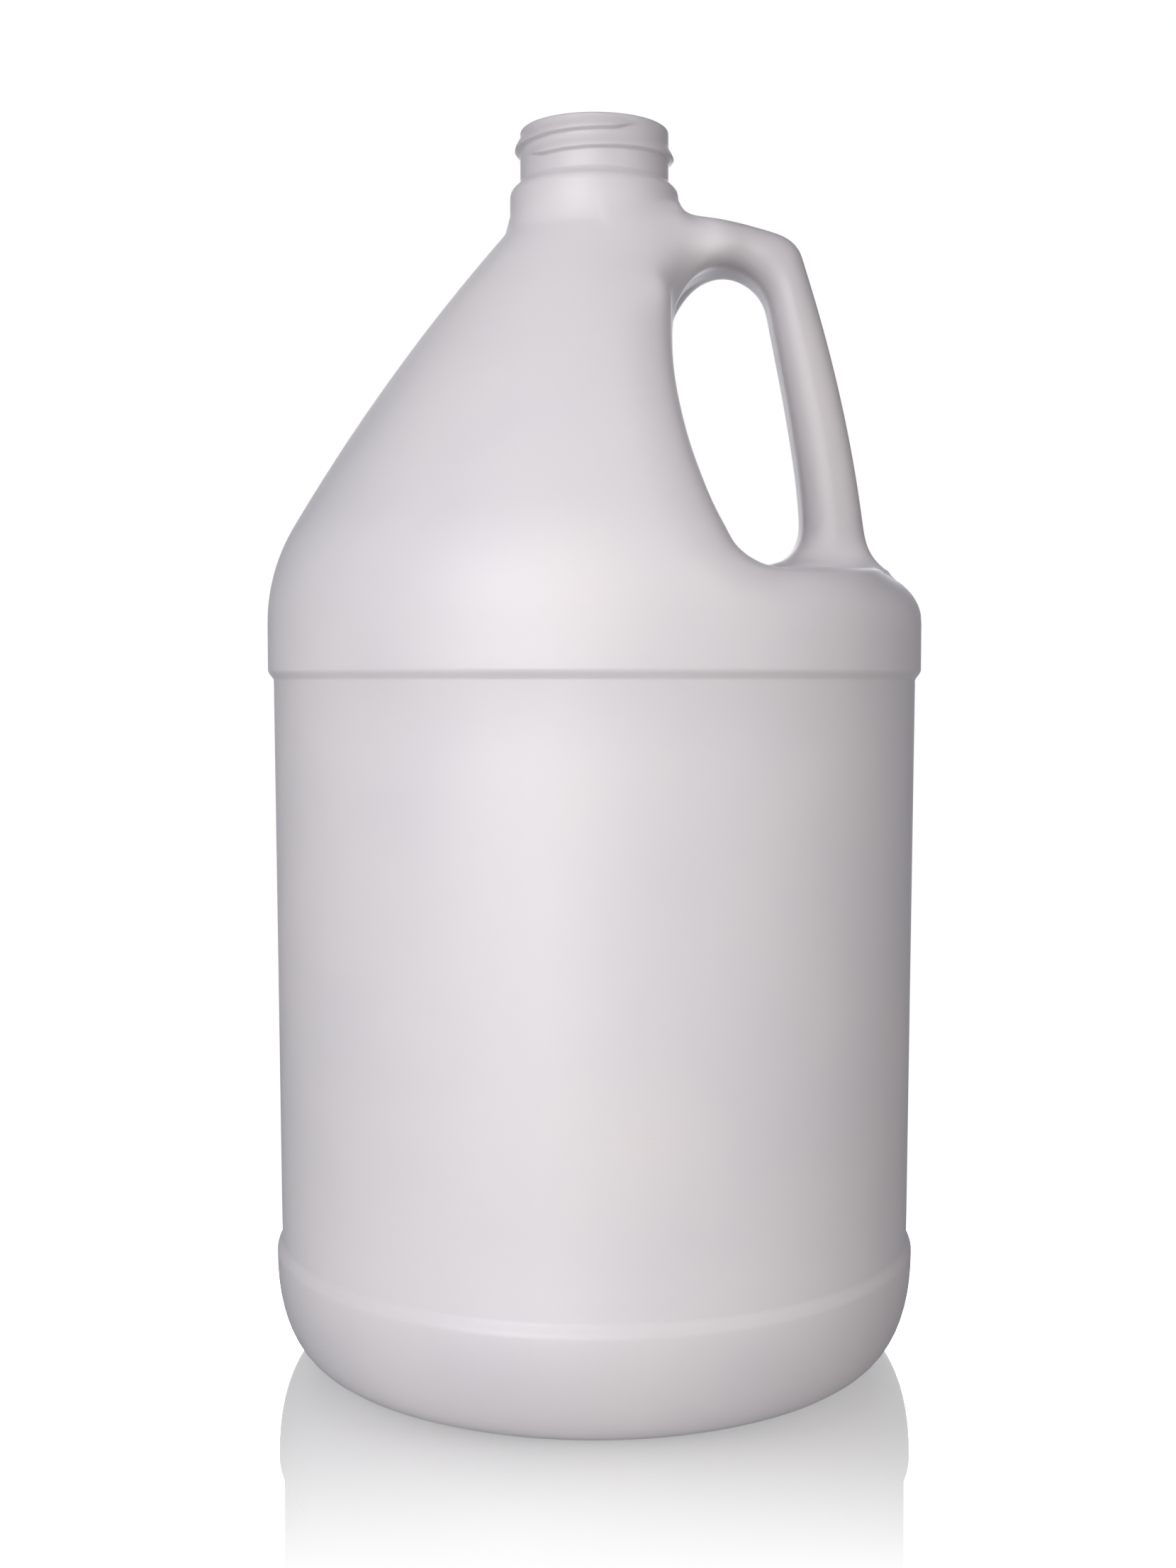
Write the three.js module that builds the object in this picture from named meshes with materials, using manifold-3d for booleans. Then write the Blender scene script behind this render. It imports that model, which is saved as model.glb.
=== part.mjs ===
// One-gallon handle jug, blow moulded in one piece from natural polyethylene.
// Millimetres, +Z up. The origin is the middle of the standing ring, the handle
// is on the +X side, and the mould's parting plane is the plane y = 0.

import * as THREE from 'three';
import Module from 'manifold-3d';

// Walls
const WALL = 0.9;
const BASE_WALL = 1.1;

// Base and heel
const PUSH_UP_HEIGHT = 6;
const STANDING_RING_INNER_RADIUS = 54;
const HEEL_WIDTH = 13.7;
const HEEL_ROUNDNESS = 2.25;
const BASE_BAND_RADIUS = 77.1;
const BASE_BAND_TOP = 25.4;
const BASE_STEP_HEIGHT = 3.4;

// Straight side, slightly wider at the top, between the base band and the shoulder band
const SIDE_BOTTOM_RADIUS = 75.9;
const SIDE_TOP_RADIUS = 76.85;
const SIDE_TOP = 162.2;
const SHOULDER_STEP_HEIGHT = 2;
const SHOULDER_BAND_RADIUS = 78.2;
const SHOULDER_BAND_TOP = 175.1;

// Shoulder arc, then a long, slightly bowed cone, then a fillet up to the collar
const SHOULDER_ARC_RADIUS = 44.3;
const CONE_FOOT_ANGLE = THREE.MathUtils.degToRad(30.6);
const CONE_BOW_RADIUS = 482;
const COLLAR_FILLET_RADIUS = 8;

// Collar and neck
const COLLAR_RADIUS = 20.2;
const COLLAR_BASE = 270.5;
const COLLAR_TOP = 277.8;
const COLLAR_ROUND = 1;
const NECK_ROOT_HEIGHT = 280.5;
const NECK_RADIUS = 17.75;
const RIM_HEIGHT = 292.7;
const RIM_ROUND = 0.6;
const BORE_RADIUS = 15.9;
const COLLAR_BORE_RADIUS = 18.9;

// Thread: one right-hand bead of about a turn and a quarter
const THREAD_PITCH = 4.233;
const THREAD_RADIUS = 19;
const THREAD_BEAD_HEIGHT = 3.6;
const THREAD_START_ANGLE = -152;
const THREAD_END_ANGLE = 305;
const THREAD_FADE_ANGLE = 24;
const THREAD_START_HEIGHT = 285.5;
const THREAD_TIP_SHARE = 0.15;
const THREAD_SUNK = 0.5;

// Handle recess: an upright wall that curves out into a level shelf
const RECESS_WALL_X = 18.7;
const RECESS_WALL_STRAIGHT_ABOVE = 243.6;
const RECESS_WALL_CURVE_RADIUS = 104;
const RECESS_SHELF_HEIGHT = 189;
const RECESS_CORNER_RADIUS = 6;
const RECESS_EDGE_ROUND = 12.2;
const RECESS_WALL_DRAFT = Math.tan(THREE.MathUtils.degToRad(3.5));
const RECESS_SHELF_DRAFT = Math.tan(THREE.MathUtils.degToRad(5));
const RECESS_CROWN = 6;

// Finger hole: a round head and a round foot with a bowed side between them, as x and z.
// The angles share out the head's arc among the handle's root, arm and corner.
const HOLE_HEAD_CENTRE = new THREE.Vector2(30.2, 247.8);
const HOLE_HEAD_RADIUS = 11.8;
const HOLE_ROOT_ANGLE = 184;
const HOLE_ARM_ANGLE = 128;
const HOLE_CORNER_ANGLE = 72;
const HOLE_GRIP_ANGLE = 4;
const HOLE_GRIP_PULL = new THREE.Vector2(49.95, 211.2);
const HOLE_FOOT_CENTRE = new THREE.Vector2(40.9, 198.4);
const HOLE_FOOT_RADIUS = 9;

// Handle's outer edge, as x and z: bowed stretches, each pulled towards a point off the edge
const HANDLE_COLLAR_JOIN = new THREE.Vector2(20, 275.4);
const HANDLE_COLLAR_PULL = new THREE.Vector2(20.3, 271.9);
const HANDLE_ARM_START = new THREE.Vector2(25.6, 271.6);
const HANDLE_ARM_PULL = new THREE.Vector2(33, 270.8);
const HANDLE_CORNER_START = new THREE.Vector2(42, 268.1);
const HANDLE_CORNER_PULL = new THREE.Vector2(48.6, 266.5);
const HANDLE_CORNER_END = new THREE.Vector2(49.6, 261.6);
const HANDLE_GRIP_PULL = new THREE.Vector2(60.35, 229.4);
const HANDLE_GRIP_END = new THREE.Vector2(64.5, 197.8);
const HANDLE_FOOT_PULL = new THREE.Vector2(65.2, 190.2);
const HANDLE_SHELF_JOIN = new THREE.Vector2(71.2, 187.2);

// Handle's half depth to either side of the parting plane, and its oval section
const ROOT_HALF_DEPTH = 15.5;
const ARM_HALF_DEPTH = 13;
const CORNER_HALF_DEPTH = 11.3;
const GRIP_HALF_DEPTH = 11;
const GRIP_END_HALF_DEPTH = 11.8;
const FOOT_HALF_DEPTH = 16;
const HANDLE_ROUNDNESS = 2.3;
const HANDLE_BURIED_LENGTH = 9;
const HANDLE_HOLLOW_BURIED_LENGTH = 12;

// Facets: column angles as from, to and steps, closer together across the edges of the recess.
// Shoulder rows lie on rays that start on the axis, between the two origins.
const COLUMN_STEPS = [[0, 30, 3], [30, 84, 11], [84, 180, 10]];
const SHOULDER_ROWS = 21;
const LOWEST_ROW_ORIGIN = 152;
const HIGHEST_ROW_ORIGIN = 268;
const FIRST_ROW_SLOPE = THREE.MathUtils.degToRad(18);
const STEEPEST_ROW_SLOPE = THREE.MathUtils.degToRad(52);
const HANDLE_SECTION_POINTS = 14;
const HANDLE_HOLLOW_POINTS = 10;
const THREAD_STEP_ANGLE = 9;
const HALVINGS = 40;

const { degToRad, lerp, smoothstep } = THREE.MathUtils;

const wasm = await Module();
wasm.setup();

/** Turns a closed, indexed geometry into a solid that can be joined and cut. */
function toSolid(geometry) {
  return new wasm.Manifold(new wasm.Mesh({
    numProp: 3,
    vertProperties: Float32Array.from(geometry.attributes.position.array),
    triVerts: Uint32Array.from(geometry.index.array),
  }));
}

/** Turns a joined and cut solid back into a geometry. */
function toGeometry(solid) {
  const mesh = solid.getMesh();
  const geometry = new THREE.BufferGeometry();
  geometry.setAttribute('position', new THREE.Float32BufferAttribute(mesh.vertProperties, 3));
  geometry.setIndex(Array.from(mesh.triVerts));
  geometry.computeVertexNormals();
  return geometry;
}

/** Skins a stack of closed loops of equal size, with a fan over the first and the last. */
function skinLoops(loops, startPole, endPole) {
  const size = loops[0].length;
  const points = [...loops.flat(), startPole, endPole];
  const start = points.length - 2;
  const end = points.length - 1;
  const triangles = [];
  for (let row = 0; row + 1 < loops.length; row += 1) {
    for (let column = 0; column < size; column += 1) {
      const a = row * size + column;
      const b = row * size + (column + 1) % size;
      const c = a + size;
      const d = b + size;
      if (points[a].distanceTo(points[d]) <= points[b].distanceTo(points[c])) {
        triangles.push(a, b, d, a, d, c);
      } else {
        triangles.push(a, b, c, b, d, c);
      }
    }
  }
  const lastRow = (loops.length - 1) * size;
  for (let column = 0; column < size; column += 1) {
    const next = (column + 1) % size;
    triangles.push(start, next, column, end, lastRow + column, lastRow + next);
  }
  const geometry = new THREE.BufferGeometry().setFromPoints(points);
  geometry.setIndex(triangles);
  return geometry;
}

/** Numbers from one value to another, both included, in even steps. */
function evenSteps(from, to, steps) {
  return Array.from({ length: steps + 1 }, (_, i) => lerp(from, to, i / steps));
}

/** The largest of two signed distances, with a round of the given radius where they cross. */
function roundedMax(a, b, radius) {
  const inside = Math.min(-radius, Math.max(a, b));
  return inside + Math.hypot(Math.max(a + radius, 0), Math.max(b + radius, 0));
}

// The shoulder arc ends and the cone begins where the side has turned to the cone's foot angle.
const CONE_FOOT = {
  radius: SHOULDER_BAND_RADIUS - SHOULDER_ARC_RADIUS * (1 - Math.cos(CONE_FOOT_ANGLE)),
  height: SHOULDER_BAND_TOP + SHOULDER_ARC_RADIUS * Math.sin(CONE_FOOT_ANGLE),
};
const CONE_CENTRE = {
  radius: CONE_FOOT.radius - CONE_BOW_RADIUS * Math.cos(CONE_FOOT_ANGLE),
  height: CONE_FOOT.height - CONE_BOW_RADIUS * Math.sin(CONE_FOOT_ANGLE),
};
// The fillet is tangent to the cone and to the collar.
const CONE_HEAD_ANGLE = Math.acos(
  (COLLAR_RADIUS + COLLAR_FILLET_RADIUS - CONE_CENTRE.radius) / (CONE_BOW_RADIUS + COLLAR_FILLET_RADIUS),
);
const CONE_HEAD_HEIGHT = CONE_CENTRE.height + CONE_BOW_RADIUS * Math.sin(CONE_HEAD_ANGLE);
const FILLET_TOP = CONE_HEAD_HEIGHT + COLLAR_FILLET_RADIUS * Math.sin(CONE_HEAD_ANGLE);

/** Radius of the round shoulder and cone at a height, before the handle recess is cut. */
function shoulderRadius(z) {
  if (z < SHOULDER_BAND_TOP) return SHOULDER_BAND_RADIUS;
  if (z < CONE_FOOT.height) {
    const rise = z - SHOULDER_BAND_TOP;
    return SHOULDER_BAND_RADIUS - SHOULDER_ARC_RADIUS + Math.sqrt(SHOULDER_ARC_RADIUS ** 2 - rise ** 2);
  }
  if (z < CONE_HEAD_HEIGHT) {
    return CONE_CENTRE.radius + Math.sqrt(CONE_BOW_RADIUS ** 2 - (z - CONE_CENTRE.height) ** 2);
  }
  if (z < FILLET_TOP) {
    const drop = FILLET_TOP - z;
    return COLLAR_RADIUS + COLLAR_FILLET_RADIUS - Math.sqrt(COLLAR_FILLET_RADIUS ** 2 - drop ** 2);
  }
  return COLLAR_RADIUS;
}

/** Signed distance from the round shoulder, negative inside. */
function roundDistance(x, y, z) {
  const slope = shoulderRadius(z + 0.5) - shoulderRadius(z - 0.5);
  return (Math.hypot(x, y) - shoulderRadius(z)) / Math.hypot(1, slope);
}

/** Depth inside the handle recess, negative in the body that is left standing. */
function recessDepth(x, y, z) {
  const drop = Math.min(z - RECESS_WALL_STRAIGHT_ABOVE, 0);
  const fromCentre = Math.hypot(RECESS_WALL_X + RECESS_WALL_CURVE_RADIUS - x, drop);
  const spread = Math.hypot(y, RECESS_CROWN) - RECESS_CROWN;
  const fromWall = RECESS_WALL_CURVE_RADIUS - fromCentre + spread * RECESS_WALL_DRAFT;
  const fromShelf = z - RECESS_SHELF_HEIGHT + spread * RECESS_SHELF_DRAFT;
  return -roundedMax(-fromWall, -fromShelf, RECESS_CORNER_RADIUS);
}

/** Signed distance from the shoulder with its recess, negative inside. */
function shoulderDistance(point) {
  const round = roundDistance(point.x, point.y, point.z);
  const recess = recessDepth(point.x, point.y, point.z);
  return roundedMax(round, recess, RECESS_EDGE_ROUND);
}

/** The point where a ray from the axis reaches the shoulder's surface, or lies an inset inside it. */
function shoulderPoint(originHeight, elevation, angle, inset) {
  const direction = new THREE.Vector3(
    Math.cos(elevation) * Math.cos(angle),
    Math.cos(elevation) * Math.sin(angle),
    Math.sin(elevation),
  );
  const origin = new THREE.Vector3(0, 0, originHeight);
  const point = new THREE.Vector3();
  let near = 0;
  let far = 2 * SHOULDER_BAND_RADIUS;
  for (let halving = 0; halving < HALVINGS; halving += 1) {
    const middle = (near + far) / 2;
    point.copy(origin).addScaledVector(direction, middle);
    if (shoulderDistance(point) < -inset) near = middle;
    else far = middle;
  }
  return point;
}

/** Column angles all the way round, the same on both sides of the parting plane. */
function columnAngles() {
  const half = COLUMN_STEPS.flatMap(([from, to, steps]) => evenSteps(from, to, steps).slice(0, -1));
  const otherHalf = half.slice(1).reverse().map((angle) => 360 - angle);
  return [...half, 180, ...otherHalf].map(degToRad);
}

const COLUMNS = columnAngles();

/** A level ring of points. */
function ring([radius, height]) {
  return COLUMNS.map((angle) => new THREE.Vector3(
    radius * Math.cos(angle),
    radius * Math.sin(angle),
    height,
  ));
}

/** Radius and height pairs from the middle of the base up to the shoulder band's top. */
function lowerProfile(wall, baseWall) {
  const pushUp = evenSteps(0.4, 1, 2).map((share) => [
    share * STANDING_RING_INNER_RADIUS,
    PUSH_UP_HEIGHT * (1 - share ** 2) + baseWall,
  ]);
  const heelFullness = 2 / HEEL_ROUNDNESS;
  const heel = evenSteps(0, Math.PI / 2, 6).map((turn) => [
    BASE_BAND_RADIUS - HEEL_WIDTH + (HEEL_WIDTH - wall) * Math.sin(turn) ** heelFullness,
    BASE_BAND_TOP - (BASE_BAND_TOP - baseWall) * Math.max(Math.cos(turn), 0) ** heelFullness,
  ]);
  const steps = [
    [lerp(BASE_BAND_RADIUS, SIDE_BOTTOM_RADIUS, 0.2), BASE_BAND_TOP + 0.3 * BASE_STEP_HEIGHT],
    [SIDE_BOTTOM_RADIUS, BASE_BAND_TOP + BASE_STEP_HEIGHT],
    [SIDE_TOP_RADIUS, SIDE_TOP],
    [lerp(SIDE_TOP_RADIUS, SHOULDER_BAND_RADIUS, 0.85), SIDE_TOP + 0.7 * SHOULDER_STEP_HEIGHT],
    [SHOULDER_BAND_RADIUS, SIDE_TOP + SHOULDER_STEP_HEIGHT],
    [SHOULDER_BAND_RADIUS, SHOULDER_BAND_TOP],
  ].map(([radius, height]) => [radius - wall, height]);
  return [...pushUp, ...heel, ...steps];
}

/**
 * Loops over the shoulder and cone. The rays rise from the axis at a growing slope past the
 * shelf, then level out towards the collar, so the rows follow the recess wall too.
 */
function shoulderLoops(inset) {
  return evenSteps(0, 1, SHOULDER_ROWS - 1).map((share) => {
    const origin = lerp(LOWEST_ROW_ORIGIN, HIGHEST_ROW_ORIGIN, share ** 2.5);
    const elevation = share < 0.5
      ? lerp(FIRST_ROW_SLOPE, STEEPEST_ROW_SLOPE, 1 - Math.cos(Math.PI * share))
      : STEEPEST_ROW_SLOPE * Math.cos(Math.PI * (share - 0.5));
    return COLUMNS.map((angle) => shoulderPoint(origin, elevation, angle, inset));
  });
}

/** The outside of the body, from the base to the closed top of the neck. */
function bodyGeometry() {
  const rimTurns = evenSteps(0, Math.PI / 2, 2);
  const neck = [
    [COLLAR_RADIUS, COLLAR_BASE],
    [COLLAR_RADIUS, COLLAR_TOP - COLLAR_ROUND],
    [COLLAR_RADIUS - 0.3 * COLLAR_ROUND, COLLAR_TOP],
    [COLLAR_RADIUS - 1.1 * COLLAR_ROUND, COLLAR_TOP + COLLAR_ROUND],
    [NECK_RADIUS, NECK_ROOT_HEIGHT],
    ...rimTurns.map((turn) => [
      NECK_RADIUS - RIM_ROUND * (1 - Math.cos(turn)),
      RIM_HEIGHT - RIM_ROUND * (1 - Math.sin(turn)),
    ]),
  ];
  const loops = [...lowerProfile(0, 0).map(ring), ...shoulderLoops(0), ...neck.map(ring)];
  const startPole = new THREE.Vector3(0, 0, PUSH_UP_HEIGHT);
  const endPole = new THREE.Vector3(0, 0, RIM_HEIGHT);
  return skinLoops(loops, startPole, endPole);
}

/** The hollow of the body, which runs out through the top of the neck. */
function cavityGeometry() {
  const overRim = RIM_HEIGHT + 5;
  const bore = [
    [COLLAR_BORE_RADIUS, COLLAR_BASE + WALL],
    [COLLAR_BORE_RADIUS, COLLAR_TOP - 2 * COLLAR_ROUND],
    [BORE_RADIUS, NECK_ROOT_HEIGHT],
    [BORE_RADIUS, overRim],
  ];
  const loops = [...lowerProfile(WALL, BASE_WALL).map(ring), ...shoulderLoops(WALL), ...bore.map(ring)];
  const startPole = new THREE.Vector3(0, 0, PUSH_UP_HEIGHT + BASE_WALL);
  const endPole = new THREE.Vector3(0, 0, overRim);
  return skinLoops(loops, startPole, endPole);
}

/** An arc of the finger hole's edge, in degrees. */
function holeArc(centre, radius, from, to) {
  const clockwise = to < from;
  return new THREE.EllipseCurve(centre.x, centre.y, radius, radius, degToRad(from), degToRad(to), clockwise);
}

/** The handle's stretches from collar to shelf: inner edge, outer edge, half depths and steps. */
function handleStretches() {
  const head = (from, to) => holeArc(HOLE_HEAD_CENTRE, HOLE_HEAD_RADIUS, from, to);
  const corner = head(HOLE_CORNER_ANGLE, HOLE_GRIP_ANGLE);
  const foot = holeArc(HOLE_FOOT_CENTRE, HOLE_FOOT_RADIUS, 0, -90);
  return [
    {
      inner: head(HOLE_ROOT_ANGLE, HOLE_ARM_ANGLE),
      outer: new THREE.QuadraticBezierCurve(HANDLE_COLLAR_JOIN, HANDLE_COLLAR_PULL, HANDLE_ARM_START),
      depths: [ROOT_HALF_DEPTH, ARM_HALF_DEPTH],
      steps: 4,
    },
    {
      inner: head(HOLE_ARM_ANGLE, HOLE_CORNER_ANGLE),
      outer: new THREE.QuadraticBezierCurve(HANDLE_ARM_START, HANDLE_ARM_PULL, HANDLE_CORNER_START),
      depths: [ARM_HALF_DEPTH, CORNER_HALF_DEPTH],
      steps: 3,
    },
    {
      inner: corner,
      outer: new THREE.QuadraticBezierCurve(HANDLE_CORNER_START, HANDLE_CORNER_PULL, HANDLE_CORNER_END),
      depths: [CORNER_HALF_DEPTH, GRIP_HALF_DEPTH],
      steps: 5,
    },
    {
      inner: new THREE.QuadraticBezierCurve(corner.getPoint(1), HOLE_GRIP_PULL, foot.getPoint(0)),
      outer: new THREE.QuadraticBezierCurve(HANDLE_CORNER_END, HANDLE_GRIP_PULL, HANDLE_GRIP_END),
      depths: [GRIP_HALF_DEPTH, GRIP_END_HALF_DEPTH],
      steps: 5,
    },
    {
      inner: foot,
      outer: new THREE.QuadraticBezierCurve(HANDLE_GRIP_END, HANDLE_FOOT_PULL, HANDLE_SHELF_JOIN),
      depths: [GRIP_END_HALF_DEPTH, FOOT_HALF_DEPTH],
      steps: 5,
    },
  ];
}

/** One oval loop of the handle, from the hole's edge to the outer edge. */
function handleLoop(inner, outer, halfDepth, inset, pointCount) {
  const across = new THREE.Vector2().subVectors(outer, inner);
  const halfWidth = across.length() / 2 - inset;
  const middle = new THREE.Vector2().addVectors(inner, outer).multiplyScalar(0.5);
  across.normalize();
  const fullness = 2 / HANDLE_ROUNDNESS;
  return Array.from({ length: pointCount }, (_, i) => {
    const turn = (2 * Math.PI * i) / pointCount;
    const side = Math.sign(Math.cos(turn)) * Math.abs(Math.cos(turn)) ** fullness * halfWidth;
    const depth = Math.sign(Math.sin(turn)) * Math.abs(Math.sin(turn)) ** fullness * (halfDepth - inset);
    return new THREE.Vector3(middle.x + across.x * side, -depth, middle.y + across.y * side);
  });
}

/** The average of a loop's points. */
function loopCentre(loop) {
  return loop.reduce((sum, point) => sum.add(point), new THREE.Vector3()).divideScalar(loop.length);
}

/** The handle from inside the neck to inside the shelf, drawn in by an inset for its hollow. */
function handleGeometry(inset, buriedLength, pointCount) {
  const loops = [];
  handleStretches().forEach(({ inner, outer, depths, steps }, index) => {
    const first = index === 0 ? 0 : 1;
    for (let step = first; step <= steps; step += 1) {
      const share = step / steps;
      const depth = lerp(depths[0], depths[1], smoothstep(share, 0, 1));
      loops.push(handleLoop(inner.getPoint(share), outer.getPoint(share), depth, inset, pointCount));
    }
  });
  const shifted = (loop, offset) => loop.map((point) => point.clone().add(offset));
  loops.unshift(shifted(loops[0], new THREE.Vector3(-buriedLength, 0, 0)));
  loops.push(shifted(loops.at(-1), new THREE.Vector3(0, 0, -buriedLength)));
  return skinLoops(loops, loopCentre(loops[0]), loopCentre(loops.at(-1)));
}

/** The thread's bead, round the neck and a little into it, fading out at both ends. */
function threadGeometry() {
  const steps = Math.round((THREAD_END_ANGLE - THREAD_START_ANGLE) / THREAD_STEP_ANGLE);
  const loops = evenSteps(THREAD_START_ANGLE, THREAD_END_ANGLE, steps).map((degrees) => {
    const fadeIn = smoothstep(degrees - THREAD_START_ANGLE, 0, THREAD_FADE_ANGLE);
    const fadeOut = smoothstep(THREAD_END_ANGLE - degrees, 0, THREAD_FADE_ANGLE);
    const strength = lerp(THREAD_TIP_SHARE, 1, Math.min(fadeIn, fadeOut));
    const reach = (THREAD_RADIUS - NECK_RADIUS) * strength;
    const half = (THREAD_BEAD_HEIGHT / 2) * strength;
    const middle = THREAD_START_HEIGHT + (THREAD_PITCH * (degrees - THREAD_START_ANGLE)) / 360;
    const section = [
      [NECK_RADIUS - THREAD_SUNK, middle + half],
      [NECK_RADIUS + 0.8 * reach, middle + 0.1 * half],
      [NECK_RADIUS + reach, middle - 0.4 * half],
      [NECK_RADIUS + 0.8 * reach, middle - 0.75 * half],
      [NECK_RADIUS - THREAD_SUNK, middle - half],
    ];
    const angle = degToRad(degrees);
    return section.map(([radius, height]) => new THREE.Vector3(
      radius * Math.cos(angle),
      radius * Math.sin(angle),
      height,
    ));
  });
  return skinLoops(loops, loopCentre(loops[0]), loopCentre(loops.at(-1)));
}

/** The whole jug: body, handle and thread in one wall round one hollow. */
function jugGeometry() {
  const outside = toSolid(bodyGeometry())
    .add(toSolid(handleGeometry(0, HANDLE_BURIED_LENGTH, HANDLE_SECTION_POINTS)))
    .add(toSolid(threadGeometry()));
  const hollow = toSolid(cavityGeometry())
    .add(toSolid(handleGeometry(WALL, HANDLE_HOLLOW_BURIED_LENGTH, HANDLE_HOLLOW_POINTS)));
  return toGeometry(outside.subtract(hollow));
}

const naturalPolyethylene = new THREE.MeshStandardMaterial({
  color: 0xdfdcda,
  roughness: 0.42,
  metalness: 0,
});

const jug = new THREE.Mesh(jugGeometry(), naturalPolyethylene);
jug.name = 'jug';

const group = new THREE.Group();
group.add(jug);

export default group;
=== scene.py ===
"""Plastic handle jug: one blow-moulded wall of natural polyethylene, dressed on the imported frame.

The forms are worked out in millimetres, as in the part's source, and MM turns them to metres where a
mesh is placed. +X is the handle's side, +Z is up, and the mould's parting plane is y = 0.
"""

import logging
import math
from collections.abc import Iterable
from dataclasses import dataclass, field
from enum import Enum

import bmesh
import bpy
import numpy as np
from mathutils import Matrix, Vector
from mathutils.bvhtree import BVHTree
from mathutils.kdtree import KDTree


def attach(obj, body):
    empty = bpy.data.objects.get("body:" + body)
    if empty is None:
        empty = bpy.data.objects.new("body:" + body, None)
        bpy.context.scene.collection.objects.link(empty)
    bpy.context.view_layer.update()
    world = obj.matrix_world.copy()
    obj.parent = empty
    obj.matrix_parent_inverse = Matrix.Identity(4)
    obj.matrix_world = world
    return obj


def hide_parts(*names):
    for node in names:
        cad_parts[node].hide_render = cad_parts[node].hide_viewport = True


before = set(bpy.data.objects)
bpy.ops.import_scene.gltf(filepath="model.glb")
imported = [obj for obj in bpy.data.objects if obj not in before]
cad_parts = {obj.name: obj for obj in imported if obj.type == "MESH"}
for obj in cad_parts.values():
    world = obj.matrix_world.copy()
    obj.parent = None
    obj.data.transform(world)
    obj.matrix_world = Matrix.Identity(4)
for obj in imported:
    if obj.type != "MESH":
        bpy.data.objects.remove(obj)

MM = 0.001
# Points nearer than MERGE become one. TOUCH, in mm, and TINY keep divisions away from zero.
MERGE = 0.02 * MM
TOUCH = 1e-6
TINY = 1e-9
WHITE = (1, 1, 1, 1)
LOG = logging.getLogger("jug")

Points = np.ndarray
Pair = tuple[float, float]
Triple = tuple[float, float, float]
Piece = bpy.types.Object
Material = bpy.types.Material
Tree = bpy.types.NodeTree
Socket = bpy.types.NodeSocket


def hex_to_linear(code: str) -> tuple[float, float, float, float]:
    """Turns an sRGB hex colour to the linear colour that shaders take.

    Args:
        code: Six hex digits, with or without a leading hash.

    Returns:
        Linear red, green, blue and full alpha.
    """
    digits = code.lstrip("#")
    channels = [int(digits[i:i + 2], 16) / 255 for i in (0, 2, 4)]
    linear = [c / 12.92 if c <= 0.04045 else ((c + 0.055) / 1.055) ** 2.4 for c in channels]
    return (*linear, 1.0)


def add_node(tree: Tree, kind: str, inputs: dict | None = None, **settings: object) -> bpy.types.Node:
    """Adds a node with its settings, its input values and its links.

    Args:
        tree: The node tree that gets the node.
        kind: The node's type name.
        inputs: Value or output socket for each input, by name or number.
        settings: Attributes of the node.

    Returns:
        The new node.
    """
    node = tree.nodes.new(kind)
    for name, value in settings.items():
        setattr(node, name, value)
    for name, value in (inputs or {}).items():
        if isinstance(value, Socket):
            tree.links.new(value, node.inputs[name])
        else:
            node.inputs[name].default_value = value
    return node


def empty_tree(owner: Material | bpy.types.World) -> Tree:
    """Gives a material or a world an empty node tree.

    Args:
        owner: The material or world.

    Returns:
        Its node tree.
    """
    owner.use_nodes = True
    owner.node_tree.nodes.clear()
    return owner.node_tree


def deselect_all() -> None:
    """Leaves edit mode and selects nothing."""
    if bpy.context.object is not None and bpy.context.object.mode != "OBJECT":
        bpy.ops.object.mode_set(mode="OBJECT")
    bpy.ops.object.select_all(action="DESELECT")


def select_only(obj: Piece) -> None:
    """Selects one object, nothing else, and makes it the active one.

    Args:
        obj: The object.
    """
    deselect_all()
    obj.select_set(True)
    bpy.context.view_layer.objects.active = obj


def edit(obj: Piece, select: str = "SELECT") -> None:
    """Opens one object in edit mode.

    Args:
        obj: The object to edit.
        select: What happens to its selection, SELECT or DESELECT.
    """
    select_only(obj)
    bpy.ops.object.mode_set(mode="EDIT")
    bpy.ops.mesh.select_all(action=select)


def points_of(obj: Piece) -> Points:
    """Reads a mesh's points.

    Args:
        obj: The object that holds the mesh.

    Returns:
        The points in millimetres, one row each.
    """
    places = np.empty(3 * len(obj.data.vertices))
    obj.data.vertices.foreach_get("co", places)
    return places.reshape(-1, 3) / MM


def place_points(obj: Piece, points: Points) -> None:
    """Puts a mesh's points at new places, given in millimetres."""
    obj.data.vertices.foreach_set("co", (points * MM).ravel())
    obj.data.update()


def ease(share: Points) -> Points:
    """A smooth step from 0 to 1."""
    held = np.clip(share, 0, 1)
    return held * held * (3 - 2 * held)


def rounded_max(a: Points, b: Points, radius: float | Points) -> Points:
    """The larger of two signed distances, with a round of the radius where they cross."""
    inside = np.minimum(-radius, np.maximum(a, b))
    return inside + np.hypot(np.maximum(a + radius, 0), np.maximum(b + radius, 0))


def bezier(start: Pair, pull: Pair, end: Pair, share: Points) -> Points:
    """Points at shares, from 0 to 1, of a curve from start to end that is drawn towards pull."""
    t = share[:, None]
    return (1 - t) ** 2 * np.array(start) + 2 * t * (1 - t) * np.array(pull) + t ** 2 * np.array(end)


def arc(centre: Pair, radius: float, start: float, end: float, share: Points) -> Points:
    """Points at shares, from 0 to 1, of an arc between two angles in degrees."""
    turn = np.radians(start + (end - start) * share)
    return np.array(centre) + radius * np.stack([np.cos(turn), np.sin(turn)], axis=1)


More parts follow.
